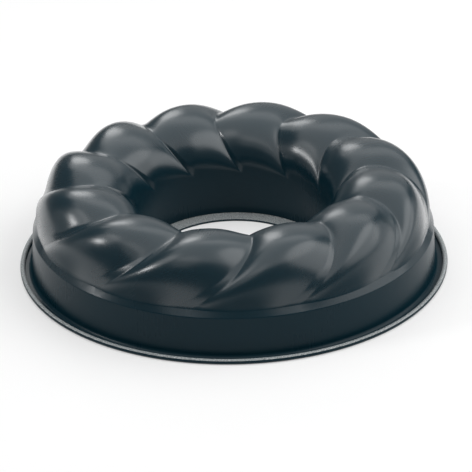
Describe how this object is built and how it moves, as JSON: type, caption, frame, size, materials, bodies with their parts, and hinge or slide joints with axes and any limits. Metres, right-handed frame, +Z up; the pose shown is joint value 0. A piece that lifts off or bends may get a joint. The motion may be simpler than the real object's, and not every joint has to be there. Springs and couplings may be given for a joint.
{
  "type": "ring cake mould",
  "caption": "Round coated-steel ring cake mould with a leaning rope-twist crown, plain skirt, wired rolled rim and folded hem round the centre hole, shown mouth down.",
  "frame": {"origin": "on the mould's axis, on the plane that the rim stands on", "axes": "+Z up along the mould's axis, from the mouth to the crown; -Y to the pictured front"},
  "size_m": [0.28, 0.28, 0.0654],
  "materials": {
    "dark_exterior": "semi-gloss anthracite baked enamel on steel sheet",
    "nonstick_coat": "mid-grey speckled non-stick coat, satin",
    "wire_steel": "plain drawn steel wire"
  },
  "bodies": {
    "root": {"rolled_rim": "nonstick_coat", "rim_wire": "wire_steel", "outer_skirt": "dark_exterior", "rope_crown": "dark_exterior", "centre_tube": "dark_exterior", "tube_hem": "nonstick_coat"}
  },
  "joints": []
}
